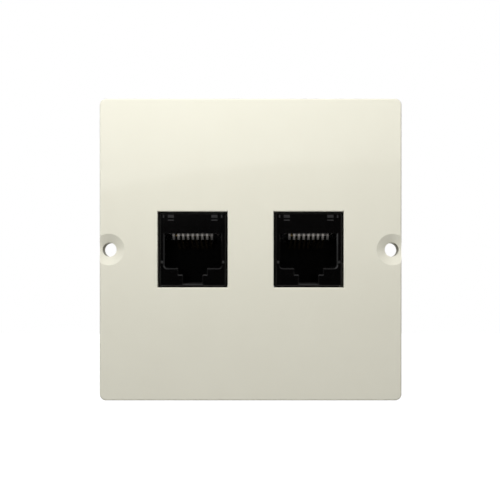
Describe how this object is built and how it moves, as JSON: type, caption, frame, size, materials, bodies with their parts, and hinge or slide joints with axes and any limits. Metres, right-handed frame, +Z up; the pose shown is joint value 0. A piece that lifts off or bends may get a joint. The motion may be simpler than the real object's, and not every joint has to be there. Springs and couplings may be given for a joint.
{
  "type": "double ethernet wall socket",
  "caption": "Square wall plate with two snap-in network jacks side by side, a countersunk screw hole at each side and wire terminals behind.",
  "frame": {"origin": "middle of the plate's rear rim, on the wall, midway between the two screw holes", "axes": "+X to the right seen from the front, +Y into the wall, +Z up"},
  "size_m": [0.0644, 0.0278, 0.0644],
  "materials": {
    "plate": "smooth glossy cream moulding",
    "housing": "satin black moulding",
    "carrier": "satin warm grey moulding",
    "contact": "gold-plated spring strip",
    "board": "green lacquered board",
    "block": "satin black moulding",
    "terminal": "tin-plated blade"
  },
  "bodies": {
    "root": {"face_plate": "plate", "left_jack_housing": "housing", "left_contact_carrier": "carrier", "left_circuit_board": "board", "left_terminal_block": "block", "left_contact_1": "contact", "left_contact_2": "contact", "left_contact_3": "contact", "left_contact_4": "contact", "left_contact_5": "contact", "left_contact_6": "contact", "left_contact_7": "contact", "left_contact_8": "contact", "left_terminal_1": "terminal", "left_terminal_2": "terminal", "left_terminal_3": "terminal", "left_terminal_4": "terminal", "left_terminal_5": "terminal", "left_terminal_6": "terminal", "left_terminal_7": "terminal", "left_terminal_8": "terminal", "right_jack_housing": "housing", "right_contact_carrier": "carrier", "right_circuit_board": "board", "right_terminal_block": "block", "right_contact_1": "contact", "right_contact_2": "contact", "right_contact_3": "contact", "right_contact_4": "contact", "right_contact_5": "contact", "right_contact_6": "contact", "right_contact_7": "contact", "right_contact_8": "contact", "right_terminal_1": "terminal", "right_terminal_2": "terminal", "right_terminal_3": "terminal", "right_terminal_4": "terminal", "right_terminal_5": "terminal", "right_terminal_6": "terminal", "right_terminal_7": "terminal", "right_terminal_8": "terminal"}
  },
  "joints": []
}
